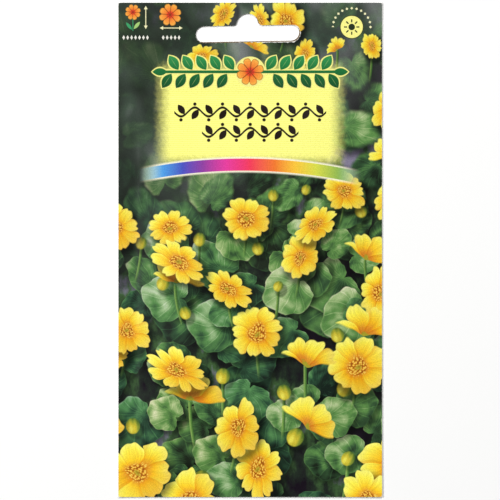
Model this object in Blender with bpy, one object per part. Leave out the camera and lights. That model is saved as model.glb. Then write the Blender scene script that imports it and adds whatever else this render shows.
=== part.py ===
"""A paper seed packet with a hang slot, lying flat on its back, with seeds loose inside.

Two sheets of coated paper are bonded to each other along a margin all round. The margin
is widest at the top, where a hang slot is punched through both sheets. Between the
margins the front sheet rises into a shallow pillow over the seeds.

Metres, +Z up. The packet's top edge points to +Y and the printed front faces up.
The origin is the middle of the outline, on the surface that the packet lies on.
"""
import math
import random

import bmesh
import bpy
import numpy as np
from mathutils import Matrix

# The packet's outline and its two sheets.
PACKET_WIDTH = 0.080
PACKET_LENGTH = 0.150
SHEET_THICKNESS = 0.00015
TOUCH_GAP = 0.0003

# The bonded margins, measured in from the cut edges.
SIDE_SEAL = 0.005
BOTTOM_SEAL = 0.008
HEADER_SEAL = 0.028

# The pillow between the margins: its height, and how flat its top is.
PILLOW_RISE = 0.0017
PILLOW_POWER = 4
PILLOW_COLUMNS = 16
PILLOW_ROWS = 26
HEADER_ROWS = 2

# The hang slot: a round-ended bar with a round bump on its upper side.
SLOT_LENGTH = 0.0317
SLOT_BAR_HEIGHT = 0.0051
SLOT_DROP = 0.0095
SLOT_SIDEWAYS = -0.0007
SLOT_TILT = math.radians(1.0)
BUMP_RADIUS = 0.0034
BUMP_CENTRE_ABOVE_BAR = 0.0002
BUMP_FILLET = 0.0010
ARC_STEPS = 8

# The back sheet's punched slot sits a little left of the front's and higher.
BACK_SLOT_SHIFT = (-0.0003, 0.0003)

# The seeds, spread in an oval patch low in the pocket.
SEED_COUNT = 36
SEED_LENGTH = 0.0023
SEED_WIDTH = 0.0012
SEED_HEIGHT = 0.0010
SEED_TAPER = 0.25
SEED_PATCH_CENTRE_Y = -0.026
SEED_PATCH_HALF_WIDTH = 0.016
SEED_PATCH_HALF_LENGTH = 0.019
SEED_SCATTER = 0.0007
RANDOM_SEED = 7

# Surface colours, as linear values.
PRINT_GREEN = (0.075, 0.110, 0.020)
PAPER_WHITE = (0.800, 0.790, 0.740)
SEED_BROWN = (0.050, 0.028, 0.014)

HALF_WIDTH = PACKET_WIDTH / 2
HALF_LENGTH = PACKET_LENGTH / 2
BACK_TOP = SHEET_THICKNESS
FRONT_UNDERSIDE = BACK_TOP + TOUCH_GAP
POCKET_HALF_WIDTH = HALF_WIDTH - SIDE_SEAL
POCKET_LOW = BOTTOM_SEAL - HALF_LENGTH
POCKET_HIGH = HALF_LENGTH - HEADER_SEAL
SLOT_CENTRE_Y = HALF_LENGTH - SLOT_DROP
CUTTER_OVERSHOOT = 0.002
GOLDEN_ANGLE = math.pi * (3 - math.sqrt(5))


def clear_scene():
    for old in list(bpy.data.objects):
        bpy.data.objects.remove(old, do_unlink=True)


def principled(name, colour, roughness):
    material = bpy.data.materials.new(name)
    material.use_nodes = True
    shader = material.node_tree.nodes["Principled BSDF"]
    shader.inputs["Base Color"].default_value = (*colour, 1.0)
    shader.inputs["Roughness"].default_value = roughness
    shader.inputs["Metallic"].default_value = 0.0
    return material


def add_object(name, mesh, material=None):
    piece = bpy.data.objects.new(name, mesh)
    bpy.context.scene.collection.objects.link(piece)
    if material and not mesh.materials:
        mesh.materials.append(material)
    return piece


def mesh_from(bm, name):
    bmesh.ops.recalc_face_normals(bm, faces=bm.faces)
    mesh = bpy.data.meshes.new(name)
    bm.to_mesh(mesh)
    bm.free()
    return mesh


def arc(centre_x, centre_y, radius, start, end, steps=ARC_STEPS):
    """Points from angle start to angle end, both included."""
    angles = np.linspace(start, end, steps + 1)
    return [(centre_x + radius * math.cos(a), centre_y + radius * math.sin(a)) for a in angles]


def slot_outline():
    """The hang slot's outline about the bar's centre, anticlockwise from its left end."""
    bar_radius = SLOT_BAR_HEIGHT / 2
    end_x = SLOT_LENGTH / 2 - bar_radius
    bump_y = bar_radius + BUMP_CENTRE_ABOVE_BAR
    fillet_y = bar_radius + BUMP_FILLET
    reach = BUMP_RADIUS + BUMP_FILLET
    fillet_x = math.sqrt(reach ** 2 - (fillet_y - bump_y) ** 2)
    meeting = math.atan2(fillet_y - bump_y, fillet_x)
    left_end = arc(-end_x, 0, bar_radius, math.pi / 2, 3 * math.pi / 2)
    right_end = arc(end_x, 0, bar_radius, -math.pi / 2, math.pi / 2)
    right_fillet = arc(fillet_x, fillet_y, BUMP_FILLET, -math.pi / 2, -math.pi + meeting, 3)
    bump = arc(0, bump_y, BUMP_RADIUS, meeting, math.pi - meeting)
    left_fillet = arc(-fillet_x, fillet_y, BUMP_FILLET, -meeting, -math.pi / 2, 3)
    return left_end + right_end + right_fillet + bump[1:-1] + left_fillet


def slot_cutter(name, shift, low, high):
    """A prism of the slot's outline, standing through one sheet."""
    bm = bmesh.new()
    turn = Matrix.Rotation(SLOT_TILT, 3, "Z")
    rim = [bm.verts.new(turn @ Matrix.Translation((x, y, 0)).to_translation()) for x, y in slot_outline()]
    face = bm.faces.new(rim)
    raised = bmesh.ops.extrude_face_region(bm, geom=[face])
    top = [item for item in raised["geom"] if isinstance(item, bmesh.types.BMVert)]
    bmesh.ops.translate(bm, verts=top, vec=(0, 0, high - low + 2 * CUTTER_OVERSHOOT))
    cutter = add_object(name, mesh_from(bm, name))
    place = (SLOT_SIDEWAYS + shift[0], SLOT_CENTRE_Y + shift[1], low - CUTTER_OVERSHOOT)
    cutter.location = place
    cutter.hide_render = True
    cutter.display_type = "WIRE"
    return cutter


def cut_slot(sheet, cutter):
    cut = sheet.modifiers.new("hang slot", "BOOLEAN")
    cut.operation = "DIFFERENCE"
    cut.solver = "EXACT"
    cut.object = cutter


def pillow_height(x, y):
    """How far the front sheet stands above the bonded margin at one place."""
    middle_y = (POCKET_LOW + POCKET_HIGH) / 2
    across = abs(x) / POCKET_HALF_WIDTH
    along = abs(y - middle_y) / ((POCKET_HIGH - POCKET_LOW) / 2)
    if across >= 1 or along >= 1:
        return 0.0
    return PILLOW_RISE * (1 - across ** PILLOW_POWER) * (1 - along ** PILLOW_POWER)


def front_grid_stops():
    """The front sheet's grid lines: margins are one cell wide, the pocket is fine."""
    columns = np.linspace(-POCKET_HALF_WIDTH, POCKET_HALF_WIDTH, PILLOW_COLUMNS + 1)
    rows = np.linspace(POCKET_LOW, POCKET_HIGH, PILLOW_ROWS + 1)
    header = np.linspace(POCKET_HIGH, HALF_LENGTH, HEADER_ROWS + 1)
    xs = [-HALF_WIDTH, *columns, HALF_WIDTH]
    ys = [-HALF_LENGTH, *rows, *header[1:]]
    return xs, ys


def give_thickness(bm):
    """Draw the whole surface down by one sheet thickness and close its edge."""
    lower = bmesh.ops.extrude_face_region(bm, geom=bm.faces[:])
    moved = [item for item in lower["geom"] if isinstance(item, bmesh.types.BMVert)]
    bmesh.ops.translate(bm, verts=moved, vec=(0, 0, SHEET_THICKNESS))


def make_front_sheet():
    xs, ys = front_grid_stops()
    bm = bmesh.new()
    bmesh.ops.create_grid(bm, x_segments=len(xs) - 1, y_segments=len(ys) - 1, size=0.5)
    for vert in bm.verts:
        column = round((vert.co.x + 0.5) * (len(xs) - 1))
        row = round((vert.co.y + 0.5) * (len(ys) - 1))
        x, y = xs[column], ys[row]
        vert.co = (x, y, FRONT_UNDERSIDE + pillow_height(x, y))
    give_thickness(bm)
    sheet = add_object("front_sheet", mesh_from(bm, "front_sheet"),
                       principled("printed paper", PRINT_GREEN, 0.35))
    cutter = slot_cutter("front_slot_cutter", (0, 0), FRONT_UNDERSIDE, FRONT_UNDERSIDE)
    cut_slot(sheet, cutter)


def make_back_sheet():
    bm = bmesh.new()
    bmesh.ops.create_grid(bm, x_segments=1, y_segments=1, size=0.5)
    bmesh.ops.scale(bm, vec=(PACKET_WIDTH, PACKET_LENGTH, 1), verts=bm.verts)
    give_thickness(bm)
    sheet = add_object("back_sheet", mesh_from(bm, "back_sheet"),
                       principled("plain paper", PAPER_WHITE, 0.55))
    cut_slot(sheet, slot_cutter("back_slot_cutter", BACK_SLOT_SHIFT, 0, BACK_TOP))


def seed_mesh():
    """An egg shape lying along X, narrower towards +X."""
    bm = bmesh.new()
    bmesh.ops.create_icosphere(bm, subdivisions=2, radius=0.5)
    for vert in bm.verts:
        slim = 1 - SEED_TAPER * (vert.co.x + 0.5)
        vert.co = (vert.co.x * SEED_LENGTH, vert.co.y * SEED_WIDTH * slim, vert.co.z * SEED_HEIGHT)
    mesh = mesh_from(bm, "seed")
    mesh.shade_smooth()
    return mesh


def make_seeds():
    mesh = seed_mesh()
    mesh.materials.append(principled("seed coat", SEED_BROWN, 0.6))
    lowest = min(vert.co.z for vert in mesh.vertices)
    scatter = random.Random(RANDOM_SEED)
    for number in range(SEED_COUNT):
        spread = math.sqrt((number + 0.5) / SEED_COUNT)
        angle = number * GOLDEN_ANGLE
        x = SEED_PATCH_HALF_WIDTH * spread * math.cos(angle)
        y = SEED_PATCH_CENTRE_Y + SEED_PATCH_HALF_LENGTH * spread * math.sin(angle)
        seed = add_object(f"seed_{number + 1:02d}", mesh)
        seed.location = (x + scatter.uniform(-SEED_SCATTER, SEED_SCATTER),
                         y + scatter.uniform(-SEED_SCATTER, SEED_SCATTER),
                         BACK_TOP + TOUCH_GAP - lowest)
        seed.rotation_euler = (0, 0, scatter.uniform(0, 2 * math.pi))


def main():
    clear_scene()
    make_front_sheet()
    make_back_sheet()
    make_seeds()


main()
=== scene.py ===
"""The looks of a paper seed packet with a hang slot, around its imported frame.

The packet lies on its back, with its top edge towards +Y and its print facing up.
"""
import math
import random

import bmesh
import bpy
import numpy as np
from bpy.props import FloatProperty, FloatVectorProperty, PointerProperty
from mathutils import Matrix, Vector


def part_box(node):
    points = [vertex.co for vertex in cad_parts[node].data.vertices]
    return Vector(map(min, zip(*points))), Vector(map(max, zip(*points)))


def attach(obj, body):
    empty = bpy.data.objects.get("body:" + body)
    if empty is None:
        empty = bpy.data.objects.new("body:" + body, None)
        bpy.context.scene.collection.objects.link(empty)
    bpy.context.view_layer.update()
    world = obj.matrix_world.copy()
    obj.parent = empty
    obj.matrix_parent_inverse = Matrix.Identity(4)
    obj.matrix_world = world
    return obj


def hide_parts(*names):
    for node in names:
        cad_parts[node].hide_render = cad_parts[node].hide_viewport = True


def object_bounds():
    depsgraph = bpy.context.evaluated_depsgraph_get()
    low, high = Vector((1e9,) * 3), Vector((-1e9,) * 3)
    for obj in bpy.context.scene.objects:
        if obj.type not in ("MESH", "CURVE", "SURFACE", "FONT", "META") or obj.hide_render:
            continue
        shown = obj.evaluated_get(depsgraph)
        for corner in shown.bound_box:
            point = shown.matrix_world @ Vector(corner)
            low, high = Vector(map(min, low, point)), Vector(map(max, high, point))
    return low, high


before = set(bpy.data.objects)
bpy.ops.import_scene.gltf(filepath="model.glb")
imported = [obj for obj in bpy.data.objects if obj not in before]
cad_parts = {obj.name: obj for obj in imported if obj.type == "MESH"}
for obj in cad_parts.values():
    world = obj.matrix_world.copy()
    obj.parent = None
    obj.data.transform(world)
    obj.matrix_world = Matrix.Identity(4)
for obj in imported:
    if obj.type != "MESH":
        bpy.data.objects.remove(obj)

bl_info = {
    "name": "Seed packet",
    "version": (1, 0, 0),
    "blender": (4, 5, 0),
    "location": "3D View > Sidebar > Seed packet",
    "description": "Makes a printed paper seed packet with a hang slot",
    "category": "Add Mesh",
}

CAD_LOW, CAD_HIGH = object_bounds()
FRONT_LOW, FRONT_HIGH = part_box("front_sheet")
BACK_LOW, BACK_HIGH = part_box("back_sheet")
SEED_NODES = sorted(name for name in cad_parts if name.startswith("seed_"))

WIDTH = FRONT_HIGH.x - FRONT_LOW.x
LENGTH = FRONT_HIGH.y - FRONT_LOW.y
PAPER = BACK_HIGH.z - BACK_LOW.z
HALF_WIDTH = WIDTH / 2
HALF_LENGTH = LENGTH / 2
MM = 0.001

# The bonded margins and the hang slot, as the frame has them.
SIDE_SEAL = 0.005
BOTTOM_SEAL = 0.008
HEADER_SEAL = 0.028
BAR_RADIUS = 0.0051 / 2
BAR_END = 0.0317 / 2 - BAR_RADIUS
SLOT_CENTRE_Y = HALF_LENGTH - 0.0095
SLOT_SIDEWAYS = -0.0007
SLOT_TILT = math.radians(1.0)
BUMP_RADIUS = 0.0034
BUMP_Y = BAR_RADIUS + 0.0002
BUMP_FILLET = 0.0010
BACK_SLOT_SHIFT = (-0.0003, 0.0003)

# How far the slot's cutter reaches to both sides of a sheet's lower side.
CUTTER_REACH = 0.002

# The puckers: their wave lengths up and across the packet, and how far from a margin they rise and fade.
PUCKER_ALONG, PUCKER_ACROSS, PUCKER_START, PUCKER_FADE = 0.013, 0.011, 0.002, 0.007
# The pillow's share of the room below the CAD's top, which the puckers need too.
DOME_SHARE = 0.97

# A sheet's sides in the order of its material slots, and their strips of the UV square.
UPPER, LOWER, CUT = 0, 1, 2
UV_LEFT = (0.01, 0.84, 0.95)
UV_WIDE = (0.79, 0.08, 0.03)

# The photo's width, 500 pixels at 3.294 to a mm, and its middle's place along X and along Y.
PHOTO_WIDTH = 500 / 3.294 * MM
PHOTO_MIDDLE = -0.00007

# The soft lights by the names of their powers, and the side of their squares.
LAMPS = {"key": (-1.65, 0.6, 1.8), "fill": (0.3, 1.7, 1.8)}
LAMP_SIZE = 0.7

# A word after a node's kind is for the first of these settings that it has. Some have a usual word.
WORD_SETS = ("operation", "interpolation_type", "data_type", "vector_type", "noise_dimensions",
             "voronoi_dimensions")
USUAL_WORD = {"Mix": "RGBA", "MapRange": "SMOOTHSTEP", "Mapping": "TEXTURE"}


class PacketSizes(bpy.types.PropertyGroup):
    """Sizes of the paper's relief."""

    mesh_cell: FloatProperty(
        name="Mesh cell", description="Side of one square of the sheets' mesh",
        default=0.001, min=0.0005, max=0.005, unit="LENGTH")
    bond: FloatProperty(
        name="Bond", description="Clear space between the two sheets along the margins",
        default=0.00001, min=0.0, max=0.0002, unit="LENGTH")
    pillow_power: FloatProperty(
        name="Pillow flatness", description="How flat the pillow's top is, 2 for a dome",
        default=2.8, min=2.0, max=8.0)
    ripple: FloatProperty(
        name="Ripple", description="Height of the puckers beside the bonded margins",
        default=0.00009, min=0.0, max=0.0005, unit="LENGTH")
    curl: FloatProperty(
        name="Edge curl", description="How far the packet's corners lift from the surface",
        default=0.00035, min=0.0, max=0.002, unit="LENGTH")


def srgb(code):
    """Three parts from 0 to 1 of an sRGB hex code."""
    return tuple(int(code[i:i + 2], 16) / 255 for i in (1, 3, 5))


def linear(colour):
    """A linear RGBA colour from an sRGB hex code or three sRGB parts."""
    parts = srgb(colour) if isinstance(colour, str) else colour
    return (*(c / 12.92 if c <= 0.04045 else ((c + 0.055) / 1.055) ** 2.4 for c in parts), 1.0)


def ink(name, description, code):
    """A colour that the user may change, given as an sRGB hex code."""
    return FloatVectorProperty(
        name=name, description=description, subtype="COLOR_GAMMA", default=srgb(code))


class PrintInks(bpy.types.PropertyGroup):
    """Colours of the print and the papers."""

    petal: ink("Petal", "Middle of a printed petal", "#FED22B")
    petal_rim: ink("Petal rim", "Outer edge of a printed petal", "#FFFA7A")
    leaf: ink("Leaf", "Middle green of the printed leaves", "#568A4E")
    panel: ink("Panel", "The label's lemon panel", "#FFFD90")
    garland: ink("Garland", "The spray of leaves over the panel", "#1F7239")
    paper: ink("Paper", "Unprinted paper", "#F4F2EA")
    seed: ink("Seed", "Seed coat", "#4A3524")


class StageLights(bpy.types.PropertyGroup):
    """The studio's light."""

    key: FloatProperty(
        name="Key", description="Power of the soft light on the left", default=47.0, unit="POWER")
    fill: FloatProperty(
        name="Fill", description="Power of the soft light above the top edge", default=30.0, unit="POWER")
    sky: FloatProperty(
        name="Sky", description="Brightness of the surrounding light", default=0.25, min=0.0)


def feed(socket, value):
    """Link another socket to this one, or set it to a value or to the colour of a hex code."""
    if isinstance(value, bpy.types.NodeSocket):
        socket.id_data.links.new(value, socket)
    else:
        socket.default_value = linear(value) if isinstance(value, str) else value


def add(kind, *feeds, out=None, stops=None, tree=None, **named):
    """Add one node, set and feed it, and give back an output, or all those of a Separate node.

    A word after the kind is its operation or the like. Capitals alone are a Math node's operation, or
    a VectorMath node's where the first feed is a point or a colour. Feeds go to the inputs in use, in
    their order. Names with a capital are inputs, others settings. The node joins its first link's tree.
    """
    kind, _, word = kind.partition(" ")
    if kind.isupper():
        plain = isinstance(feeds[0], (int, float)) or getattr(feeds[0], "type", "") == "VALUE"
        kind, word = ("Math" if plain else "VectorMath"), kind
    linked = [value for value in (*feeds, *named.values()) if isinstance(value, bpy.types.NodeSocket)]
    node = (tree or linked[0].id_data).nodes.new("ShaderNode" + kind)
    if word or kind in USUAL_WORD:
        setting = next(name for name in WORD_SETS if hasattr(node, name))
        setattr(node, setting, word or USUAL_WORD[kind])
    for name, value in named.items():
        if name.islower():
            setattr(node, name, value)
        else:
            feed(node.inputs[name], value)
    for socket, value in zip([socket for socket in node.inputs if socket.enabled], feeds):
        feed(socket, value)
    for number, (position, colour) in enumerate((stops or {}).items()):
        ramp = node.color_ramp.elements
        stop = ramp[number] if number < len(ramp) else ramp.new(position)
        stop.position, stop.color = position, linear(colour)
    if out:
        return node.outputs[out]
    given = [socket for socket in node.outputs if socket.enabled]
    return given if kind.startswith("Separate") else given[0]


# What every printed motif is told: a point, the colour there so far, the motif's spot, three random
# numbers of its own, its half size, how soft its edge is and how bright it is. Lengths are in mm.
MOTIF = {"Vector": "Vector", "Under": "Color", "Spot": "Vector", "Dice": "Vector", "Size": "Float",
         "Blur": "Float", "Light": "Float"}

# How motifs change from far to near: height in the picture, half size, edge blur and brightness.
BLOSSOMS = ((70, 6.3, 0.09, 0.9), (-75, 11.6, 0.03, 1))
BUDS = ((30, 2.2, 0.3, 0.7), (-70, 3.5, 0.12, 0.95))
STEMS = ((30, 6, 0.04, 0.6), (-70, 8.5, 0.03, 1))

# How many times a stem is narrower than tall, and a spot for where there is no motif.
STEM_NARROW = 4
NOWHERE = (0, 500, 1)

# The seeds of the chance throws, the share of places that hold a flower, the numbers of rows of
# flowers and of throws for buds, and the extent of the rows in mm.
FLOWER_SEED, BUD_SEED = 421, 3
FLOWER_SHARE, HEADER_SHARE = 0.6, 0.75
FLOWER_ROWS, BUD_THROWS = 15, 34
TOP_ROW, ROWS_HEIGHT, LEFT_COLUMN, ROW_LENGTH = 70, 145, -44, 92

# More flowers about the slot, where they find room: place and half size.
SLOT_FLOWERS = ((-15, 58.5, 6), (16.5, 59.5, 5.8), (26.5, 60.5, 4.2), (-8, 71.5, 6), (37, 62, 4.6))

# A motif reaches to this share of its half size with its drift, and this many mm further with its
# shadow, which falls this far aside.
DRIFT_REACH, SHADOW_REACH = 1.1, 1.6
SHADOW_SHIFT = (0.9, -1.3, 0)

# The nets of leaves from far to near: pitch and shift in mm, share of empty meshes, brightness.
LEAF_NETS = ((22, (3, 5, 0), 0, -0.02), (20, (0, 0, 0), 0, 0.08),
             (19, (7, -4, 0), 0.1, 0.17), (20, (-5, 9, 0), 0.2, 0.25),
             (18, (11, 2, 0), 0.3, 0.34))


def new_motif(name):
    """An empty node group's own inputs, in the order of MOTIF."""
    group = bpy.data.node_groups.new(name, "ShaderNodeTree")
    for label, kind in MOTIF.items():
        group.interface.new_socket(name=label, in_out="INPUT", socket_type="NodeSocket" + kind)
    group.interface.new_socket(name="Colour", in_out="OUTPUT", socket_type="NodeSocketColor")
    return group.nodes.new("NodeGroupInput").outputs[:len(MOTIF)]


def close_group(cover, under, colour):
    """Lay the motif's colour over what is under it, as its group's output, and give back the group."""
    group = cover.id_data
    feed(group.nodes.new("NodeGroupOutput").inputs["Colour"], add("Mix", cover, under, colour))
    return group


def own_space(place, spot, size, turn, flat):
    """The point in the motif's own measure, where its reach is 1, and the same for its shadow."""
    scale = add("CombineXYZ", size, add("MULTIPLY", size, flat), 1)
    lower = add("ADD", spot, SHADOW_SHIFT)
    return add("Mapping", place, spot, turn, scale), add("Mapping", place, lower, turn, scale)


def wavy(own, dice, scale, amount):
    """The point moved by a slow drift, so that no two motifs are alike."""
    at = add("MULTIPLY_ADD", dice, (9, 9, 0), own)
    drift = add("TexNoise 2D", at, Scale=scale, Detail=0, out="Color")
    moved = add("MULTIPLY_ADD", drift, (amount, amount, 0), own)
    return add("ADD", moved, (-amount / 2, -amount / 2, 0))


def soft_shadow(under, shaded, strength):
    """The colour below a motif, darkened where the motif would shade it."""
    dark = add("MapRange", add("LENGTH", shaded), 0.75, 1.1, strength, 0)
    return add("Mix", dark, under, (0.13, 0.11, 0.13, 1), blend_type="MULTIPLY")


def mirrored(place):
    """How far the point lies from either axis."""
    return add("SeparateXYZ", add("ABSOLUTE", place))[:2]


def polar(place):
    """The point's distance from the middle, its angle there and its x."""
    x, y, _ = add("SeparateXYZ", place)
    return add("LENGTH", place), add("ARCTAN2", y, x), x


def blossom_group(inks):
    """An open flower of seven to nine notched petals about its stamens, or a cup from its side."""
    place, under, spot, dice, size, blur, light = new_motif("Blossom")
    first, second, third = add("SeparateXYZ", dice)
    cup = add("GREATER_THAN", third, 0.8)
    around = add("MULTIPLY", first, 2 * math.pi)
    upward = add("MULTIPLY_ADD", first, math.pi / 3, math.pi / 3)
    turn = add("CombineXYZ", 0, 0, add("Mix FLOAT", cup, around, upward))
    flat = add("MAXIMUM", add("MULTIPLY_ADD", second, 0.4, 0.6), cup)
    own, shaded = own_space(place, spot, size, turn, flat)
    under = soft_shadow(under, shaded, add("MULTIPLY_ADD", cup, -0.85, 0.85))
    petals = add("FLOOR", add("MULTIPLY_ADD", first, 2.99, 7))
    width = add("MapRange LINEAR", second, 0, 1, 1.12, 1.5)
    bent = wavy(own, dice, 2.1, 0.2)
    reach, angle, x = polar(bent)
    step = add("MULTIPLY_ADD", angle, add("DIVIDE", petals, 2 * math.pi), 0.3)
    number = add("ROUND", step)
    wrapped = add("FLOORED_MODULO", number, petals)
    petal_dice = add("TexWhiteNoise 2D", add("CombineXYZ", wrapped, first, 0), out="Color")
    longer, darker, _ = add("SeparateColor", petal_dice)
    off = add("SUBTRACT", step, number)
    across = add("MULTIPLY", add("ABSOLUTE", off), 2)
    across = add("DIVIDE", across, width, use_clamp=True)
    round_off = add("SUBTRACT", 1, add("POWER", across, 2.4))
    crown = add("MULTIPLY_ADD", add("SQRT", round_off), 0.7, 0.3)
    crown = add("SUBTRACT", crown, add("MapRange", across, 0, 0.3, 0.07, 0))
    rim = add("MULTIPLY", crown, add("MULTIPLY_ADD", longer, 0.18, 0.82))
    cover = add("MapRange", add("SUBTRACT", rim, reach), 0, blur)
    behind = add("MapRange", add("DIVIDE", x, reach), 0.15, 0.27, 1, 0)
    seen = add("SUBTRACT", 1, add("MULTIPLY", behind, cup))
    cover = add("MULTIPLY", cover, seen)

    share = add("DIVIDE", reach, rim, use_clamp=True)
    petal = add("ValToRGB", share, stops={
        0: "#C87A2A", 0.3: "#E9A02E", 0.5: inks.petal, 0.76: "#FFF14F", 1: inks.petal_rim})
    beyond = add("SUBTRACT", place, spot)
    lit = add("DOT_PRODUCT", beyond, (-0.045, 0.06, 0))
    tuck = add("MapRange", off, 0.2, 0.5, 0, 0.75)
    shade = add("MULTIPLY_ADD", darker, 0.6, tuck)
    shade = add("SUBTRACT", shade, lit, use_clamp=True)
    petal = add("Mix", shade, petal, (0.86, 0.58, 0.34, 1), blend_type="MULTIPLY")
    fibre_at = add("MULTIPLY_ADD", first, 20, add("MULTIPLY", angle, 8))
    fibre = add("TexNoise 2D", add("CombineXYZ", fibre_at, reach, 0), Scale=1.6, Detail=1)
    petal = add("SCALE", petal, add("MapRange", fibre, 0.3, 0.7, 0.93, 1.06))

    dots = add("TexVoronoi 2D", bent, Scale=14)
    stamens = add("ValToRGB", dots, stops={0.12: "#FFDC62", 0.4: "#E3951F", 0.62: "#9A5414"})
    fuzzy = add("MULTIPLY_ADD", dots, 0.1, reach)
    edge = add("MapRange", cup, 0, 1, 0.36, 0.2)
    heart = add("MapRange", add("SUBTRACT", fuzzy, edge), -0.08, 0, 1, 0)
    pistil = add("MAXIMUM", add("MapRange", fuzzy, 0.06, 0.16, 0.8, 0), cup)
    stamens = add("Mix", pistil, stamens, "#A9A02B")
    flower = add("SCALE", add("Mix", heart, petal, stamens), light)
    return close_group(cover, under, flower)


def leaf_group(inks):
    """A broad heart-shaped leaf, scalloped between the veins that fan out from its stalk."""
    place, under, spot, dice, size, blur, light = new_motif("Leaf")
    first, second, third = add("SeparateXYZ", dice)
    turn = add("CombineXYZ", 0, 0, add("MULTIPLY", first, 2 * math.pi))
    own, shaded = own_space(place, spot, size, turn, add("MULTIPLY_ADD", second, 0.3, 0.7))
    under = soft_shadow(under, shaded, 0.7)
    bent = wavy(own, dice, 1.5, 0.24)
    reach, angle, _ = polar(add("ADD", bent, (0.42, 0, 0)))
    wave = add("PINGPONG", add("MULTIPLY", angle, 2.4), 0.5)
    full = add("MULTIPLY_ADD", add("COSINE", angle), 0.5, 0.5)
    rim = add("MULTIPLY", add("POWER", full, 0.62), 1.24)
    rim = add("MULTIPLY_ADD", wave, 0.09, rim)
    rim = add("ADD", rim, add("MapRange LINEAR", full, 0.93, 1, 0, 0.13))
    inside = add("SUBTRACT", rim, reach)
    cover = add("MapRange", inside, 0, blur)
    vein = add("MapRange", add("MULTIPLY", wave, reach), 0, 0.06, 0.16, 0)
    lines = add("MAXIMUM", vein, add("MapRange", inside, 0, 0.08, 0.22, 0))
    hollow = add("MapRange", reach, 0, 0.7, -0.66, -0.5)
    patch_at = add("MULTIPLY_ADD", dice, (7, 0, 0), bent)
    patch = add("TexNoise 2D", patch_at, Scale=1.5, Detail=2)
    beyond = add("SUBTRACT", place, spot)
    lit = add("DOT_PRODUCT", beyond, (-0.012, 0.016, 0))
    tone = add("MULTIPLY_ADD", patch, 0.9, lines)
    tone = add("MULTIPLY_ADD", wave, 0.2, tone)
    tone = add("MULTIPLY_ADD", second, 0.26, tone)
    for more in (lit, hollow, light):
        tone = add("ADD", tone, more)
    green = add("ValToRGB", tone, stops={
        0: "#17241A", 0.22: "#2F5236", 0.46: inks.leaf, 0.68: "#93B786", 1: "#D6E4D0"})
    tint = add("Mix", third, (0.9, 0.97, 1.1, 1), (1.26, 1.06, 0.84, 1))
    return close_group(cover, under, add("MULTIPLY", green, tint))


def bud_group():
    """A round closed bud, with the lines of its folded petals."""
    place, under, spot, dice, size, blur, light = new_motif("Bud")
    turn = add("CombineXYZ", 0, 0, add("ADD", add("SeparateXYZ", dice, out="Y"), 1))
    own, shaded = own_space(place, spot, size, turn, 0.88)
    under = soft_shadow(under, shaded, 0.6)
    edge = add("SUBTRACT", 0.85, blur)
    cover = add("MapRange", add("LENGTH", own), edge, 0.85, 1, 0)
    glow = add("DISTANCE", own, (-0.3, 0.25, 0))
    seam = add("MULTIPLY", add("SeparateXYZ", own, out="Y"), 1.8)
    tone = add("MULTIPLY_ADD", add("PINGPONG", seam, 0.5), -0.4, glow)
    skin = add("ValToRGB", tone, stops={0: "#F6EC5A", 0.35: "#D8C63A", 0.7: "#9CA636", 1: "#55742C"})
    return close_group(cover, under, add("SCALE", skin, light))


def stem_group():
    """A thin upright stem, bowed to one side and lost in the leaves at its foot."""
    place, under, spot, dice, size, blur, light = new_motif("Stem")
    own, _ = own_space(place, spot, size, (0, 0, math.pi / 2), 1)
    x, y, _ = add("SeparateXYZ", own)
    below = add("SUBTRACT", 1, x)
    square = add("MULTIPLY", below, below)
    bend = add("MapRange LINEAR", add("SeparateXYZ", dice, out="Y"), 0, 1, -0.12, 0.12)
    bow = add("MULTIPLY_ADD", square, bend, y)
    edge = add("SUBTRACT", 0.075, blur)
    cover = add("MapRange", add("ABSOLUTE", bow), edge, 0.085, 1, 0)
    cover = add("MULTIPLY", cover, add("MapRange", x, -1, -0.2))
    cover = add("MULTIPLY", cover, add("MapRange", x, 0.99, 1, 1, 0))
    tone = add("MapRange", bow, -0.085, 0.085)
    green = add("ValToRGB", tone, stops={0: "#2C4E26", 0.5: "#5F8E40", 1: "#98BA62"})
    return close_group(cover, under, add("SCALE", green, light))


def next_place(place, colour):
    """The same place, known only once the colour is: motifs are then worked out one by one."""
    return add("MULTIPLY_ADD", colour, (1e-20, 1e-20, 1e-20), place)


def backdrop(place):
    """Far garden, out of focus: grey-green light above, near-black gaps below."""
    stretch = add("MULTIPLY", place, (0.05, 0.03, 0))
    haze = add("TexNoise 2D", stretch, Scale=1.6, Detail=5, Roughness=0.62)
    return add("ValToRGB", haze, stops={
        0.34: "#150D18", 0.46: "#1F2A20", 0.57: "#3F5E36", 0.7: "#827C92"})


def far_haze(place, under):
    """Grey-green haze over the upper part, so that the garden there looks far and soft."""
    stretch = add("MULTIPLY", place, (0.045, 0.03, 0))
    cloud = add("TexNoise 2D", stretch, Scale=1.3, Detail=2)
    x, y, _ = add("SeparateXYZ", place)
    dim = add("MULTIPLY_ADD", x, 0.0042, cloud)
    grey = add("ValToRGB", dim, stops={0.3: "#252D25", 0.5: "#3E4A40", 0.7: "#7C807F"})
    slope = add("MULTIPLY_ADD", x, -0.8, y)
    return add("Mix", add("MapRange", slope, 8, 62, 0, 0.86), under, grey)


def foliage(place, under, leaf, net, blur):
    """One layer of leaves, one to a mesh of an uneven net, each as large as its neighbours allow."""
    pitch, shift, empty, light = net
    nearest = {"Vector": add("ADD", place, shift), "Scale": 1 / pitch, "Randomness": 0.45}
    one = add("TexVoronoi 2D", **nearest).node.outputs
    room = add("TexVoronoi 2D", feature="N_SPHERE_RADIUS", **nearest)
    spot = add("SUBTRACT", one["Position"], shift)
    roll = add("SeparateColor", one["Color"], out="Blue")
    size = add("MapRange LINEAR", roll, empty, empty + 0.001, 0.01, pitch)
    size = add("MULTIPLY", size, room)
    return add("Group", place, under, spot, one["Color"], size, blur, light, node_tree=leaf)


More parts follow.
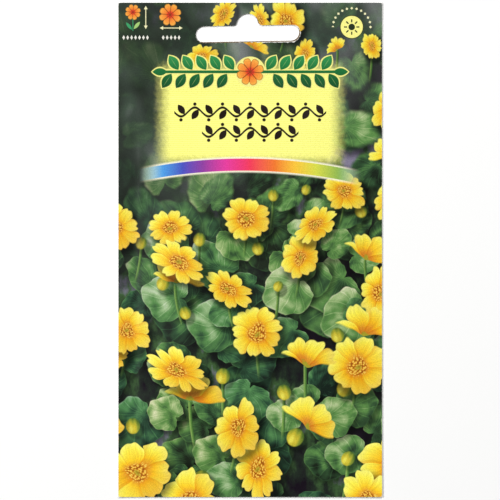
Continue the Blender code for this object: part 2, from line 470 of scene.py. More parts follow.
def at_height(y, motifs):
    """The half size of motifs at one height of the picture."""
    far, near = motifs
    share = min(max((y - far[0]) / (near[0] - far[0]), 0), 1)
    return far[1] + (near[1] - far[1]) * share


def layers_of(spots, count, narrow=1):
    """Spots sorted into layers in which no two motifs touch each other. Any left over are dropped."""
    layers = [[] for _ in range(count)]
    for spot in spots:
        centre = (spot[0] * narrow, spot[1], 0)
        reach = spot[2] * DRIFT_REACH + SHADOW_REACH
        for layer in layers:
            if all(math.dist(centre, old[0]) > reach + old[1] for old in layer):
                layer.append((centre, reach, spot))
                break
    return layers


def strew(place, colour, group, layers, motifs, narrow=1):
    """Lay motifs over the colour, layer by layer."""
    far, near = motifs
    for layer in layers:
        seen = add("MULTIPLY", place, (narrow, 1, 1))
        spot = NOWHERE
        for centre, reach, own_spot in layer:
            here = add("LESS_THAN", add("DISTANCE", seen, centre), reach)
            spot = add("Mix VECTOR", here, spot, own_spot)
        x, y, size = add("SeparateXYZ", spot)
        centre = add("CombineXYZ", x, y, 0)
        dice = add("TexWhiteNoise 2D", centre, out="Color")
        blur, light = (add("MapRange LINEAR", y, far[0], near[0], a, b) for a, b in zip(far[2:], near[2:]))
        colour = add("Group", place, colour, centre, dice, size, blur, light, node_tree=group)
        place = next_place(place, colour)
    return place, colour


def clear_of_label(x, y, radius):
    """Whether a motif stays off the label's panel, its header signs and the dark left side."""
    beside_panel = abs(x) < 33 and y > 22 - 0.4 * radius and y < 58 + 0.4 * radius
    in_corner = y > 60 and (x < -15 or x > 21)
    dark_side = x < -24 and y > 12
    return not (beside_panel or in_corner or dark_side)


def flower_spots():
    """The flowers with their half sizes: staggered rows, larger and nearer towards the foot."""
    dice = random.Random(FLOWER_SEED)
    for row in range(FLOWER_ROWS):
        y = TOP_ROW - ROWS_HEIGHT * row / (FLOWER_ROWS - 1)
        usual = at_height(y, BLOSSOMS)
        pitch = 1.85 * usual
        for column in range(int(ROW_LENGTH / pitch) + 1):
            x = LEFT_COLUMN + (column + 0.5 * (row % 2) + dice.uniform(-0.3, 0.3)) * pitch
            higher = y + dice.uniform(-4, 4)
            size = usual * dice.uniform(0.84, 1.18)
            share = FLOWER_SHARE if y < 55 else HEADER_SHARE
            if dice.random() < share and clear_of_label(x, higher, 0.5 * pitch):
                yield x, higher, size
    yield from SLOT_FLOWERS


def bud_spots():
    """The buds with their half sizes, here and there between the flowers."""
    dice = random.Random(BUD_SEED)
    for _ in range(BUD_THROWS):
        x, y = dice.uniform(-38, 39), dice.uniform(-73, 26)
        size = at_height(y, BUDS) * dice.uniform(0.8, 1.15)
        if clear_of_label(x, y, 2.5):
            yield x, y, size


def stem_spots(layers):
    """A stalk below each flower or bud of the layers."""
    for layer in layers:
        for _, _, (x, y, _) in layer:
            size = at_height(y, STEMS)
            yield x, y - size, size


def picture(place, inks):
    """The printed plants, laid from far to near."""
    leaf = leaf_group(inks)
    colour = backdrop(place)
    for net in LEAF_NETS:
        blur = add("MapRange LINEAR", add("SeparateXYZ", place, out="Y"), 5, 45, 0.05, 0.4)
        colour = foliage(place, colour, leaf, net, blur)
        place = next_place(place, colour)
    colour = far_haze(place, colour)
    flowers = layers_of(flower_spots(), 3)
    buds = layers_of(bud_spots(), 1)
    stems = layers_of(stem_spots(flowers + buds), 1, STEM_NARROW)
    place, colour = strew(place, colour, stem_group(), stems, STEMS, STEM_NARROW)
    place, colour = strew(place, colour, bud_group(), buds, BUDS)
    return strew(place, colour, blossom_group(inks), flowers, BLOSSOMS)


# Where the parts of the label stand on the packet, in mm from its middle.
GARLAND_Y, PANEL_Y, BAND_Y = 54, 41, 25.8
UPPER_RULE_Y, LOWER_RULE_Y = 41.8, 35.6
BEADS_X, BEADS_Y = -34.8, 64.4
BADGE_X, BADGE_Y = 30.8, 67.6

# How far from its middle the panel is still whole and where it has faded out, and its lines' pitch.
PANEL_ACROSS, PANEL_ALONG = (24.2, 30.4), (12.4, 17.6)
PANEL_LINE_PITCH = 0.61

# The garland: half the pitch of its leaves, a leaf's place and turn, the half length and half width
# of the leaf and of its rib, and the width of the pale outline.
HALF_LEAF_PITCH = 2.1
LEAF_AT = (0, 2.75, 57)
LEAF_SIZE, RIB_SIZE = (2.65, 1.55), (2.3, 0.13)
GARLAND_OUTLINE = 0.42

# One arch of the ornamental rules, and how many arches each has.
VINE_WAVE = 4.2
UPPER_ARCHES, LOWER_ARCHES = 11, 7

# The back's row of empty boxes and its ruled lines, in mm.
BOXES_Y, HALF_BOX, HALF_BOX_PITCH = 20, 2.2, 2.75
HALF_RULE_PITCH = 3

# The header signs: a pictogram's petals, half the beads' pitch, the badge's arc of dots, and the
# colour of dots and arrows.
ROSETTE_PETALS = 8
HALF_BEAD_PITCH = 0.6
HALF_DOT_ANGLE, DOT_ARC_RADIUS = math.pi / 24, 5.7
CREAM = "#F3EFBC"


def disc(place, x, y, radius):
    """Cover of a disc: 1 inside."""
    away = add("DISTANCE", place, (x, y, 0))
    return add("MapRange", away, radius - 0.12, radius, 1, 0)


def bar(place, x, y, half_width, half_height):
    """Cover of an upright or level bar about (x, y), with soft edges."""
    across, along = mirrored(add("SUBTRACT", place, (x, y, 0)))
    over = add("SUBTRACT", across, half_width)
    over = add("MAXIMUM", over, add("SUBTRACT", along, half_height))
    return add("MapRange", over, -0.1, 0, 1, 0)


def lens(place, x, y, turn, length, width, bold=0):
    """Cover of a pointed leaf about (x, y), turned by degrees. Sizes are halves."""
    turn = (0, 0, math.radians(turn))
    along, aside, _ = add("SeparateXYZ", add("Mapping", place, (x, y, 0), turn, (length, length, 1)))
    square = add("MULTIPLY", along, along)
    half = add("MULTIPLY_ADD", square, -width / length, (width + bold) / length)
    inside = add("SUBTRACT", half, add("ABSOLUTE", aside))
    return add("MapRange", inside, 0, 0.06)


def double_arrow(place, x, y, turn, half_length):
    """Cover of a thin line with a small arrow head at either end."""
    along, aside = mirrored(add("Mapping", place, (x, y, 0), (0, 0, math.radians(turn))))
    left = add("SUBTRACT", half_length, along)
    head = add("MULTIPLY", add("MAXIMUM", left, 0), 0.55)
    half = add("MapRange LINEAR", left, 1, 1.05, head, 0.13)
    body = add("MapRange", add("SUBTRACT", aside, half), -0.08, 0.08, 1, 0)
    return add("MULTIPLY", body, add("GREATER_THAN", left, 0))


def rosette(under, place, x, y, radius):
    """A plain small flower of broad petals with dark seams, as pictograms have."""
    reach, angle, _ = polar(add("Mapping", place, (x, y, 0), (0, 0, 0.3), (radius, radius, 1)))
    off = add("PINGPONG", add("MULTIPLY", angle, ROSETTE_PETALS / (2 * math.pi)), 0.5)
    rim = add("MULTIPLY_ADD", add("POWER", off, 3), -2.2, 1)
    inside = add("SUBTRACT", rim, reach)
    petal = add("ValToRGB", reach, stops={
        0: "#E02F2B", 0.24: "#E4412B", 0.4: "#F08232", 0.75: "#F79F40", 1: "#FBC052"})
    beside = add("MULTIPLY", add("SUBTRACT", 0.5, off), reach)
    seam = add("MapRange", beside, 0.01, 0.07, 0.85, 0)
    outline = add("MapRange", inside, 0.03, 0.13, 0.7, 0)
    petal = add("Mix", add("MAXIMUM", seam, outline), petal, "#7A3A18")
    return add("Mix", add("MapRange", inside, 0, 0.05), under, petal)


def panel(place, under, inks):
    """The lemon panel, fading out at its edges, with the fine lines of its screen."""
    grain = add("TexNoise 2D", place, Scale=0.9, Detail=1)
    x, y = mirrored(add("SUBTRACT", place, (0, PANEL_Y, 0)))
    across, along = (add("MapRange", add("MULTIPLY_ADD", grain, 1.4, axis), whole, gone, 1, 0)
                     for axis, (whole, gone) in ((x, PANEL_ACROSS), (y, PANEL_ALONG)))
    height = add("SeparateXYZ", place, out="Y")
    line = add("SINE", add("MULTIPLY", height, 2 * math.pi / PANEL_LINE_PITCH))
    lemon = add("Mix", add("MapRange", line, -1, 1), "#FBF97E", linear(inks.panel))
    return add("Mix", add("MULTIPLY", across, along), under, lemon)


def rainbow(place, under):
    """One gently arched band of changing colour, with cream rims and faded ends."""
    x, y, _ = add("SeparateXYZ", place)
    shifted = add("ADD", x, 2)
    height = add("MULTIPLY_ADD", add("MULTIPLY", shifted, shifted), 0.0032, y)
    off = add("ABSOLUTE", add("SUBTRACT", height, BAND_Y))
    ends = add("MapRange", add("ABSOLUTE", x), 26, 34, 1, 0)
    rim, band = (add("MULTIPLY", add("MapRange", off, whole, gone, 1, 0), ends)
                 for whole, gone in ((1.9, 2.7), (1.75, 1.95)))
    share = add("MapRange LINEAR", x, -31, 31)
    colours = add("ValToRGB", share, stops={
        0: "#5FB9C9", 0.07: "#4A9BE0", 0.17: "#4A52BE", 0.27: "#8E3D9E", 0.38: "#E23A9C",
        0.5: "#F03A58", 0.62: "#F0792F", 0.72: "#F8C53A", 0.82: "#D8DC4A", 1: "#2E9E5A"})
    return add("Mix", band, add("Mix", rim, under, "#FBF6DA"), colours)


def garland(place, under, inks):
    """Sprays of leaves to both sides of a small flower, with a pale outline."""
    middle = add("SUBTRACT", place, (0, GARLAND_Y, 0))
    folded = add("ABSOLUTE", middle)
    x, y, _ = add("SeparateXYZ", folded)
    height = add("SeparateXYZ", middle, out="Y")
    along = add("MULTIPLY_ADD", add("LESS_THAN", height, 0), -HALF_LEAF_PITCH, x)
    wrapped = add("WRAP", add("SUBTRACT", along, 6.4), -HALF_LEAF_PITCH, HALF_LEAF_PITCH)
    from_middle = add("ABSOLUTE", add("SUBTRACT", along, 14.8))
    within = add("LESS_THAN", from_middle, 10.5)
    own = add("CombineXYZ", wrapped, y, 0)
    shapes = []
    for bold in (0, GARLAND_OUTLINE):
        leaves = add("MULTIPLY", lens(own, *LEAF_AT, *LEAF_SIZE, bold), within)
        leaves = add("MAXIMUM", leaves, lens(folded, 27.4, 0, 0, 2.4, 1.2, bold))
        shapes.append(add("MAXIMUM", leaves, bar(folded, 13, 0, 13, 0.48 + bold)))
    shade = add("MapRange LINEAR", height, -4.5, 4.5)
    green = add("ValToRGB", shade, stops={0: "#174F29", 0.6: inks.garland, 1: "#32924E"})
    rib = add("MULTIPLY", lens(own, *LEAF_AT, *RIB_SIZE), 0.4)
    green = add("Mix", rib, green, "#BFE08C")
    pale = add("MAXIMUM", shapes[1], disc(place, 0, GARLAND_Y, 4.7))
    under = add("Mix", shapes[0], add("Mix", pale, under, "#F6F08C"), green)
    return rosette(under, place, 0, GARLAND_Y, 4.3)


def vine_rule(place, under, y, arches):
    """An ornamental rule: a waving stem with a leaf in each hollow and a berry over each crest."""
    own = add("SUBTRACT", place, (0, y, 0))
    along, height, _ = add("SeparateXYZ", own)
    phase = add("DIVIDE", along, VINE_WAVE)
    number = add("ROUND", phase)
    side = add("MULTIPLY_ADD", add("FLOORED_MODULO", number, 2), -2, 1)
    beside = add("SUBTRACT", phase, number)
    above = add("MULTIPLY", height, side)
    cell = add("CombineXYZ", add("MULTIPLY", beside, VINE_WAVE), above, 0)
    crest = add("COSINE", add("MULTIPLY", beside, math.pi))
    off = add("ABSOLUTE", add("MULTIPLY_ADD", crest, -1.35, above))
    shape = add("MapRange", off, 0.29, 0.45, 1, 0)
    shape = add("MAXIMUM", shape, lens(cell, 0.1, -0.75, 56, 1.85, 1.03))
    shape = add("MAXIMUM", shape, disc(cell, 0, 2.4, 0.58))
    shape = add("MULTIPLY", shape, bar(own, 0, 0, arches * VINE_WAVE / 2, 3))
    return add("Mix", shape, under, "#1E140C")


def pictograms(place, under):
    """Two small flowers with arrows for their size, over rows of beads."""
    dark_green = add("MAXIMUM", lens(place, -36.8, 67.9, -50, 1.5, 0.5), bar(place, -35.6, 68.4, 0.17, 2))
    colour = add("Mix", dark_green, under, "#3F9E66")
    colour = add("Mix", lens(place, -34.4, 68.1, 50, 1.5, 0.55), colour, "#A5CB76")
    colour = rosette(colour, place, -35.6, 72.1, 2.45)
    colour = rosette(colour, place, -24.3, 71.3, 3.5)
    arrows = add("MAXIMUM", double_arrow(place, -31.7, 70.5, 90, 3.5),
                 double_arrow(place, -24, 67.3, 0, 3.45))
    colour = add("Mix", arrows, colour, CREAM)
    below = add("SUBTRACT", place, (BEADS_X, BEADS_Y, 0))
    x, y, _ = add("SeparateXYZ", below)
    beside = add("ABSOLUTE", add("WRAP", x, -HALF_BEAD_PITCH, HALF_BEAD_PITCH))
    over = add("ADD", add("ABSOLUTE", y), add("MULTIPLY", beside, 1.7))
    rows = add("MAXIMUM", bar(below, 0, 0, 4.2, 1), bar(below, 10.8, 0, 3, 1))
    beads = add("MULTIPLY", add("MapRange", over, 0.6, 0.8, 1, 0), rows)
    return add("Mix", beads, colour, "#EDEBE0")


def sun_badge(place, colour):
    """A pale disc with a plain sun, under an arc of dots."""
    reach, angle, _ = polar(add("SUBTRACT", place, (BADGE_X, BADGE_Y, 0)))
    arc_step = add("WRAP", angle, -HALF_DOT_ANGLE, HALF_DOT_ANGLE)
    arc_away = add("ABSOLUTE", add("MULTIPLY", arc_step, DOT_ARC_RADIUS))
    arc_over = add("ABSOLUTE", add("SUBTRACT", reach, DOT_ARC_RADIUS))
    dots = add("MapRange", add("ADD", arc_away, arc_over), 0.35, 0.5, 1, 0)
    dots = add("MULTIPLY", dots, add("MapRange", angle, -0.2, -0.1))
    colour = add("Mix", dots, colour, CREAM)
    for whole, gone, ink in ((3.5, 3.65, "#2B331C"), (3.3, 3.42, "#FAF58C")):
        colour = add("Mix", add("MapRange", reach, whole, gone, 1, 0), colour, ink)
    ray_step = add("ABSOLUTE", add("WRAP", angle, -math.pi / 8, math.pi / 8))
    ray = add("MapRange", add("MULTIPLY", ray_step, reach), 0.16, 0.24, 1, 0)
    ray = add("MULTIPLY", ray, add("MapRange", reach, 2.3, 2.4, 1, 0))
    ray = add("MULTIPLY", ray, add("MapRange", reach, 1.35, 1.45))
    sun = add("MAXIMUM", add("MapRange", reach, 0.95, 1.05, 1, 0), ray)
    return add("Mix", sun, colour, "#23301A")


def label(place, colour, inks):
    """The ready-made parts of the print: panel, band, garland, rules and header signs."""
    colour = panel(place, colour, inks)
    place = next_place(place, colour)
    colour = rainbow(place, colour)
    place = next_place(place, colour)
    colour = garland(place, colour, inks)
    place = next_place(place, colour)
    colour = vine_rule(place, colour, UPPER_RULE_Y, UPPER_ARCHES)
    colour = vine_rule(place, colour, LOWER_RULE_Y, LOWER_ARCHES)
    place = next_place(place, colour)
    return sun_badge(place, pictograms(place, colour))


def slot_distance(place):
    """Distance in mm outside the hang slot's outline, and the two coordinates along its bar."""
    own = add("Mapping", place, (SLOT_SIDEWAYS / MM, SLOT_CENTRE_Y / MM, 0), (0, 0, SLOT_TILT))
    x, y, _ = add("SeparateXYZ", own)
    past = add("SUBTRACT", add("ABSOLUTE", x), BAR_END / MM)
    nearest = add("CombineXYZ", add("MAXIMUM", past, 0), y, 0)
    to_bar = add("SUBTRACT", add("LENGTH", nearest), BAR_RADIUS / MM)
    bump = add("DISTANCE", own, (0, BUMP_Y / MM, 0))
    return add("MINIMUM", to_bar, add("SUBTRACT", bump, BUMP_RADIUS / MM)), x, y


def punched_rim(place, colour, inks):
    """White fibres that the punch left bare beside the slot's lower side, most towards its right end."""
    away, x, y = slot_distance(place)
    ragged = add("TexNoise 2D", place, Scale=1.1, Detail=3)
    edge = add("MULTIPLY_ADD", ragged, -0.7, away)
    edge = add("ADD", edge, add("MapRange", x, -4, 8, 0.22, 0))
    bare = add("MapRange", edge, -0.25, -0.1, 0.9, 0)
    lower = add("MapRange", y, -2.2, -1.6, 1, 0)
    right = add("MapRange", x, 14, 15, 0, 1.4)
    on_side = add("MINIMUM", add("MAXIMUM", lower, right), 1)
    return add("Mix", add("MULTIPLY", bare, on_side), colour, linear(inks.paper))


def worn_edge(place, colour, inks):
    """A hair line of bare paper where the film is rubbed off along the cut edges."""
    x, y = mirrored(place)
    side = add("SUBTRACT", HALF_WIDTH / MM, x)
    foot = add("SUBTRACT", HALF_LENGTH / MM, y)
    patchy = add("TexNoise 2D", place, Scale=0.35, Detail=4)
    reach = add("MapRange", patchy, 0.5, 0.75, 0, 0.04)
    corner = add("MapRange", add("ADD", side, foot), 0, 1.2, 0.16, 0)
    over = add("SUBTRACT", add("MINIMUM", side, foot), add("ADD", reach, corner))
    return add("Mix", add("MapRange", over, -0.06, 0.02, 0.7, 0), colour, linear(inks.paper))


def ink_screen(place, colour):
    """The press's dot screen. The real one is 0.15 mm; it is drawn at 0.62 mm to show at all."""
    turned = add("Mapping", place, (0, 0, 0), (0, 0, math.radians(8)))
    waves = add("SINE", add("SCALE", turned, 2 * math.pi / 0.62))
    across, along, _ = add("SeparateXYZ", waves)
    grain = add("TexNoise 2D", place, Scale=2.6, Detail=2)
    strength = add("MapRange", grain, 0.25, 0.75, 0.9, 1.1)
    strength = add("MULTIPLY_ADD", add("MULTIPLY", across, along), 0.035, strength)
    return add("SCALE", colour, strength)


def new_material(name):
    """A material and, in mm, its Object coordinates."""
    material = bpy.data.materials.new(name)
    material.use_nodes = True
    return material, add("SCALE", add("TexCoord", tree=material.node_tree, out="Object"), 1 / MM)


def dress(material, colour, roughness, relief, strength, depth):
    """Give a material its colour, its roughness and a fine relief."""
    shader = material.node_tree.nodes["Principled BSDF"].inputs
    feed(shader["Base Color"], colour)
    feed(shader["Roughness"], roughness)
    feed(shader["Normal"], add("Bump", Strength=strength, Distance=depth, Height=relief))
    return material


def printed_paper(inks):
    """Coated paper, offset printed and film laminated: clear colour under a low satin shine."""
    material, whole = new_material("laminated_offset_print")
    place, colour = picture(add("MULTIPLY", whole, (1, 1, 0)), inks)
    colour = label(place, colour, inks)
    place = next_place(place, colour)
    colour = punched_rim(place, ink_screen(place, colour), inks)
    smear = add("TexNoise", whole, Scale=0.11, Detail=3)
    # Orange peel of the film, about 0.8 mm across.
    peel = add("TexNoise", whole, Scale=1.2, Detail=2)
    return dress(material, worn_edge(place, colour, inks), add("MapRange", smear, 0.3, 0.7, 0.25, 0.33),
                 peel, 0.12, 0.00002)


def bare_paper(name, inks, tint="#FFFFFF"):
    """Uncoated wood-free paper: matt, with fine fibres and slight clouding. Its tint, where one is given,
    is painted shade.
    """
    material, whole = new_material(name)
    cloud = add("TexNoise", whole, Scale=0.12, Detail=3)
    # Fibres are 0.03 mm thick; they are drawn 0.2 mm thick to show.
    stretched = add("MULTIPLY", whole, (5, 1.3, 2))
    fibre = add("TexNoise", stretched, Scale=1, Detail=3, Distortion=1.5)
    tone = add("MULTIPLY_ADD", cloud, 0.5, fibre)
    tone = add("MapRange", tone, 0.45, 1, 0.9, 1.02)
    # The tint darkens the paper's colour: painted shade where a tint other than white is given.
    paper_with_shade_tint = [paper * shade_tint for paper, shade_tint in zip(linear(inks.paper)[:3], linear(tint))]
    return dress(material, add("SCALE", paper_with_shade_tint, tone), 0.85, fibre, 0.25, 0.00003)


def seed_coat(inks):
    """A dry seed's coat: dull brown, netted with fine wrinkles."""
    material, whole = new_material("dry_seed_coat")
    net = add("TexVoronoi", whole, Scale=4.5, Randomness=0.9, feature="DISTANCE_TO_EDGE")
    patch = add("TexNoise", whole, Scale=0.9, Detail=3)
    tone = add("MULTIPLY", patch, add("MapRange", net, 0, 0.12, 1.25, 0.85))
    tone = add("ADD", tone, 0.45)
    return dress(material, add("SCALE", linear(inks.seed)[:3], tone), 0.55, net, 0.5, 0.00006)


def back_print(inks):
    """The back of the packet: bare paper with two green bands, twelve empty boxes and ruled lines."""
    material, whole = new_material("uncoated_back_print")
    place = add("MULTIPLY", whole, (1, 1, 0))
    x, y, _ = add("SeparateXYZ", place)
    fibre = add("TexNoise", whole, Scale=3, Detail=3)
    tone = add("MapRange", fibre, 0.3, 0.7, 0.95, 1)
    colour = add("SCALE", linear(inks.paper)[:3], tone)
    green = add("MAXIMUM", bar(place, 0, 47, 40.5, 3), bar(place, 0, -67, 40.5, 2))
    colour = add("Mix", green, colour, linear(inks.garland))
    wrapped = add("WRAP", add("SUBTRACT", x, HALF_BOX_PITCH), -HALF_BOX_PITCH, HALF_BOX_PITCH)
    from_box = add("CombineXYZ", wrapped, add("SUBTRACT", y, BOXES_Y), 0)
    across, along = mirrored(from_box)
    far = add("SUBTRACT", add("MAXIMUM", across, along), HALF_BOX)
    line = add("MapRange", add("ABSOLUTE", far), 0.08, 0.16, 1, 0)
    line = add("MULTIPLY", line, bar(place, 0, BOXES_Y, 33, 3))
    rules = add("ABSOLUTE", add("WRAP", y, -HALF_RULE_PITCH, HALF_RULE_PITCH))
    rules = add("MapRange", rules, 0.05, 0.13, 1, 0)
    rules = add("MULTIPLY", rules, bar(place, 0, -27, 32, 28))
    colour = add("Mix", add("MAXIMUM", line, rules), colour, "#5F7A62")
    return dress(material, colour, 0.8, fibre, 0.25, 0.00003)


def mesh_from(bm, name, *materials):
    mesh = bpy.data.meshes.new(name)
    bm.to_mesh(mesh)
    bm.free()
    for material in materials:
        mesh.materials.append(material)
    return mesh


def add_object(name, data):
    """A new object in the scene."""
    made = bpy.data.objects.new(name, data)
    bpy.context.scene.collection.objects.link(made)
    return made


def extrude(bm, faces, height):
    """Draw faces up by a height, leaving them below, and turn every face outwards."""
    raised = bmesh.ops.extrude_face_region(bm, geom=faces)
    top = [item for item in raised["geom"] if isinstance(item, bmesh.types.BMVert)]
    bmesh.ops.translate(bm, verts=top, vec=(0, 0, height))
    bmesh.ops.recalc_face_normals(bm, faces=bm.faces)


def arc(centre_x, centre_y, radius, start, end, steps=10):
    """Points from angle start to angle end, both included."""
    angles = np.linspace(start, end, steps + 1)
    return [(centre_x + radius * math.cos(a), centre_y + radius * math.sin(a)) for a in angles]


def slot_outline():
    """The hang slot's outline about the bar's centre, anticlockwise from its left end."""
    fillet_y = BAR_RADIUS + BUMP_FILLET
    fillet_x = math.sqrt((BUMP_RADIUS + BUMP_FILLET) ** 2 - (fillet_y - BUMP_Y) ** 2)
    meeting = math.atan2(fillet_y - BUMP_Y, fillet_x)
    left_end = arc(-BAR_END, 0, BAR_RADIUS, math.pi / 2, 3 * math.pi / 2)
    right_end = arc(BAR_END, 0, BAR_RADIUS, -math.pi / 2, math.pi / 2)
    right_fillet = arc(fillet_x, fillet_y, BUMP_FILLET, -math.pi / 2, -math.pi + meeting, 4)
    bump = arc(0, BUMP_Y, BUMP_RADIUS, meeting, math.pi - meeting, 16)
    left_fillet = arc(-fillet_x, fillet_y, BUMP_FILLET, -meeting, -math.pi / 2, 4)
    return left_end + right_end + right_fillet + bump[1:-1] + left_fillet


def slot_cutter(shift, material):
    """A prism of the slot's outline that stands through the flat sheet."""
    bm = bmesh.new()
    turn = Matrix.Rotation(SLOT_TILT, 3, "Z")
    middle = Vector((SLOT_SIDEWAYS + shift[0], SLOT_CENTRE_Y + shift[1], -CUTTER_REACH))
    rim = [bm.verts.new(turn @ Vector((x, y, 0)) + middle) for x, y in slot_outline()]
    extrude(bm, [bm.faces.new(rim)], 2 * CUTTER_REACH)
    return add_object("slot_cutter", mesh_from(bm, "slot cutter", material))


def sheet_mesh(name, cell, shift, materials):
    """A flat sheet with the punched slot, its lower side at zero.

    The materials are those of its upper side, its lower side and its cut edges.
    """
    bm = bmesh.new()
    bmesh.ops.create_grid(bm, x_segments=round(WIDTH / cell), y_segments=round(LENGTH / cell), size=0.5)
    bmesh.ops.scale(bm, vec=(WIDTH, LENGTH, 1), verts=bm.verts)
    extrude(bm, bm.faces[:], PAPER)
    for face in bm.faces:
        face.material_index = UPPER if face.normal.z > 0.5 else LOWER if face.normal.z < -0.5 else CUT
    mesh = mesh_from(bm, name, *materials)
    sheet = add_object(name, mesh)
    cutter = slot_cutter(shift, materials[CUT])
    cut = sheet.modifiers.new("hang slot", "BOOLEAN")
    cut.operation, cut.solver, cut.object = "DIFFERENCE", "EXACT", cutter
    cut.material_mode = "TRANSFER"
    seen = sheet.evaluated_get(bpy.context.evaluated_depsgraph_get())
    sheet.data = bpy.data.meshes.new_from_object(seen)
    sheet.modifiers.clear()
    sheet.data.name = name
    bpy.data.objects.remove(cutter)
    bpy.data.meshes.remove(mesh)
    unwrap(sheet.data)
    return sheet


def points_of(mesh):
    """The mesh's points, one to a row."""
    points = np.empty(len(mesh.vertices) * 3, np.float32)
    mesh.vertices.foreach_get("co", points)
    return points.reshape(-1, 3)


def unwrap(mesh):
    """A UV map that gives the upper side most of the square, the lower side and edges a strip each."""
    corners = np.empty(len(mesh.loops), np.int32)
    mesh.loops.foreach_get("vertex_index", corners)
    x, y, z = points_of(mesh)[corners].T
    sides = np.repeat([face.material_index for face in mesh.polygons],
                      [face.loop_total for face in mesh.polygons])
    across, along = x / WIDTH + 0.5, y / LENGTH + 0.5
    around = (across + along) / 2
    share = np.choose(sides, [across, across, z / PAPER])
    u = np.choose(sides, UV_LEFT) + share * np.choose(sides, UV_WIDE)
    v = 0.01 + 0.98 * np.choose(sides, [along, along, around])
    layer = mesh.uv_layers.new(name="OFBake")
    layer.uv.foreach_set("vector", np.column_stack([u, v]).astype(np.float32).ravel())


def lift(sheet, height):
    """Raise each point of a flat sheet by a height worked out from where it is."""
    mesh = sheet.data
    points = points_of(mesh)
    points[:, 2] += height(points[:, 0], points[:, 1])
    mesh.vertices.foreach_set("co", points.ravel())
    mesh.update()
    mesh.shade_smooth()
    mesh.set_sharp_from_angle(angle=math.radians(40))


def curl_height(x, y, curl):
    """The corners lift a little, the lower right one most."""
    across, along = np.abs(x) / HALF_WIDTH, np.abs(y) / HALF_LENGTH
    lean = 0.55 + 0.1 * x / HALF_WIDTH - 0.2 * y / HALF_LENGTH
    return curl * lean * (across ** 4 * 0.5 + along ** 6 * 0.5)


def pillow_height(x, y, sizes):
    """The front sheet's rise over the pocket, with puckers beside the margins."""
    low, high = BOTTOM_SEAL - HALF_LENGTH, HALF_LENGTH - HEADER_SEAL
    pocket_half = HALF_WIDTH - SIDE_SEAL
    across = np.clip(np.abs(x) / pocket_half, 0, 1)
    along = np.clip(np.abs(y - (low + high) / 2) / ((high - low) / 2), 0, 1)
    power = sizes.pillow_power
    dome = (1 - across ** power) * (1 - along ** power)
    margin = np.minimum((1 - across) * pocket_half, (1 - along) * (high - low) / 2)
    fade = np.exp(-margin / PUCKER_FADE) * np.clip(margin / PUCKER_START, 0, 1)
    pucker = np.sin(y * 2 * math.pi / PUCKER_ALONG + 1.3 * np.sin(x * 90))
    pucker += np.sin(x * 2 * math.pi / PUCKER_ACROSS + 2)
    rise = FRONT_HIGH.z - 2 * PAPER - sizes.bond
    return rise * dome * DOME_SHARE + sizes.ripple * fade * pucker


class SEEDPACKET_OT_front_sheet(bpy.types.Operator):
    """Make the printed front sheet, pillowed between its margins and punched."""

    bl_idname = "seedpacket.front_sheet"
    bl_label = "Front sheet"

    def execute(self, context):
        sizes, inks = context.scene.packet_sizes, context.scene.print_inks
        sheet = sheet_mesh("front_paper", sizes.mesh_cell, (0, 0), (
            printed_paper(inks), bare_paper("uncoated_inner_paper", inks),
            bare_paper("cut_paper_edge", inks)))
        base = PAPER + sizes.bond
        lift(sheet, lambda x, y: base + curl_height(x, y, sizes.curl) + pillow_height(x, y, sizes))
        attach(sheet, "root")
        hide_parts("front_sheet")
        return {"FINISHED"}


class SEEDPACKET_OT_back_sheet(bpy.types.Operator):
    """Make the back sheet, flat, with its slot punched a little aside."""

    bl_idname = "seedpacket.back_sheet"
    bl_label = "Back sheet"

    def execute(self, context):
        sizes, inks = context.scene.packet_sizes, context.scene.print_inks
        sheet = sheet_mesh("back_paper", sizes.mesh_cell * 2, BACK_SLOT_SHIFT, (
            # The upper side is tinted brown: painted shade for the shadow in the gap under the front
            # sheet's slot edge, where this side shows.
            bare_paper("glued_inner_paper", inks, "#735C44"), back_print(inks),
            bare_paper("cut_back_edge", inks)))
        lift(sheet, lambda x, y: curl_height(x, y, sizes.curl))
        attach(sheet, "root")
        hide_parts("back_sheet")
        return {"FINISHED"}


class SEEDPACKET_OT_seeds(bpy.types.Operator):
    """Give the loose seeds their coat."""

    bl_idname = "seedpacket.seeds"
    bl_label = "Seeds"

    def execute(self, context):
        coat = seed_coat(context.scene.print_inks)
        for name in SEED_NODES:
            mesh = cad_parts[name].data
            mesh.materials.clear()
            mesh.materials.append(coat)
        return {"FINISHED"}


def make_floor():
    """A matt white board under the packet."""
    bm = bmesh.new()
    bmesh.ops.create_grid(bm, x_segments=1, y_segments=1, size=0.8)
    board = bpy.data.materials.new("matt_white_board")
    board.use_nodes = True
    surface = board.node_tree.nodes["Principled BSDF"].inputs
    feed(surface["Base Color"], "#FBFBFA")
    feed(surface["Roughness"], 0.9)
    floor = add_object("floor", mesh_from(bm, "floor", board))
    floor.location.z = CAD_LOW.z - 0.00002


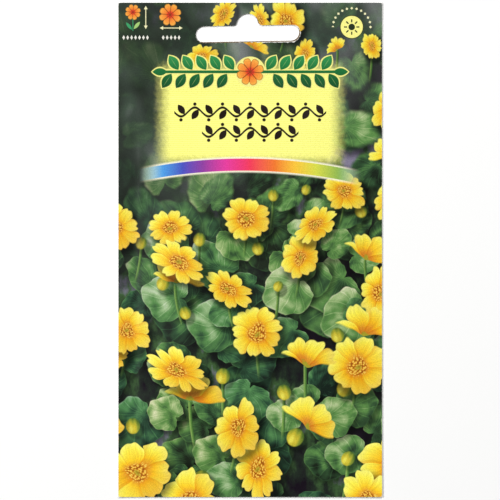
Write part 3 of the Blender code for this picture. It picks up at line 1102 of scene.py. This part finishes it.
def light_up(scene):
    """Two soft lights and a pale surround, darker straight above."""
    lights = scene.stage_lights
    for name, place in LAMPS.items():
        data = bpy.data.lights.new(name, "AREA")
        data.energy, data.size = getattr(lights, name), LAMP_SIZE
        lamp = add_object(name, data)
        lamp.location = place
        lamp.rotation_euler = (-Vector(place)).to_track_quat("-Z", "Y").to_euler()

    scene.world = bpy.data.worlds.new("pale_surround")
    scene.world.use_nodes = True
    tree = scene.world.node_tree
    # Dark straight above, so that the camera there sees no sheen on the film.
    height = add("SeparateXYZ", add("TexCoord", tree=tree, out="Generated"), out="Z")
    soft = add("MapRange", height, 0.72, 0.93, lights.sky, 0.1 * lights.sky)
    seen = add("LightPath", tree=tree, out="Is Camera Ray")
    sky = tree.nodes["Background"].inputs
    feed(sky["Color"], "#FFFFFF")
    feed(sky["Strength"], add("MapRange LINEAR", seen, 0.0, 1.0, soft, 0.96))


class SEEDPACKET_OT_stage(bpy.types.Operator):
    """Make the pale floor, the soft lights and the camera above."""

    bl_idname = "seedpacket.stage"
    bl_label = "Stage"

    def execute(self, context):
        scene = context.scene
        make_floor()
        light_up(scene)
        optics = bpy.data.cameras.new("camera")
        optics.lens, optics.sensor_width = 200.0, 36.0
        camera = add_object("camera", optics)
        camera.location = (PHOTO_MIDDLE, PHOTO_MIDDLE, PHOTO_WIDTH * optics.lens / optics.sensor_width)
        scene.camera = camera
        scene.view_settings.view_transform = "Standard"
        return {"FINISHED"}


class SEEDPACKET_PT_sidebar(bpy.types.Panel):
    """Lists the packet's pieces and its stage."""

    bl_label = "Seed packet"
    bl_space_type = "VIEW_3D"
    bl_region_type = "UI"
    bl_category = "Seed packet"

    def draw(self, context):
        for operator in OPERATORS:
            self.layout.operator(operator.bl_idname)


OPERATORS = (SEEDPACKET_OT_front_sheet, SEEDPACKET_OT_back_sheet, SEEDPACKET_OT_seeds, SEEDPACKET_OT_stage)
SCENE_GROUPS = {"packet_sizes": PacketSizes, "print_inks": PrintInks, "stage_lights": StageLights}
CLASSES = (*SCENE_GROUPS.values(), *OPERATORS, SEEDPACKET_PT_sidebar)


def register():
    for cls in CLASSES:
        bpy.utils.register_class(cls)
    for name, group in SCENE_GROUPS.items():
        setattr(bpy.types.Scene, name, PointerProperty(type=group))


def unregister():
    for name in SCENE_GROUPS:
        delattr(bpy.types.Scene, name)
    for cls in reversed(CLASSES):
        bpy.utils.unregister_class(cls)


def main():
    register()
    bpy.ops.seedpacket.front_sheet()
    bpy.ops.seedpacket.back_sheet()
    bpy.ops.seedpacket.seeds()
    bpy.ops.seedpacket.stage()


if __name__ == "__main__":
    main()
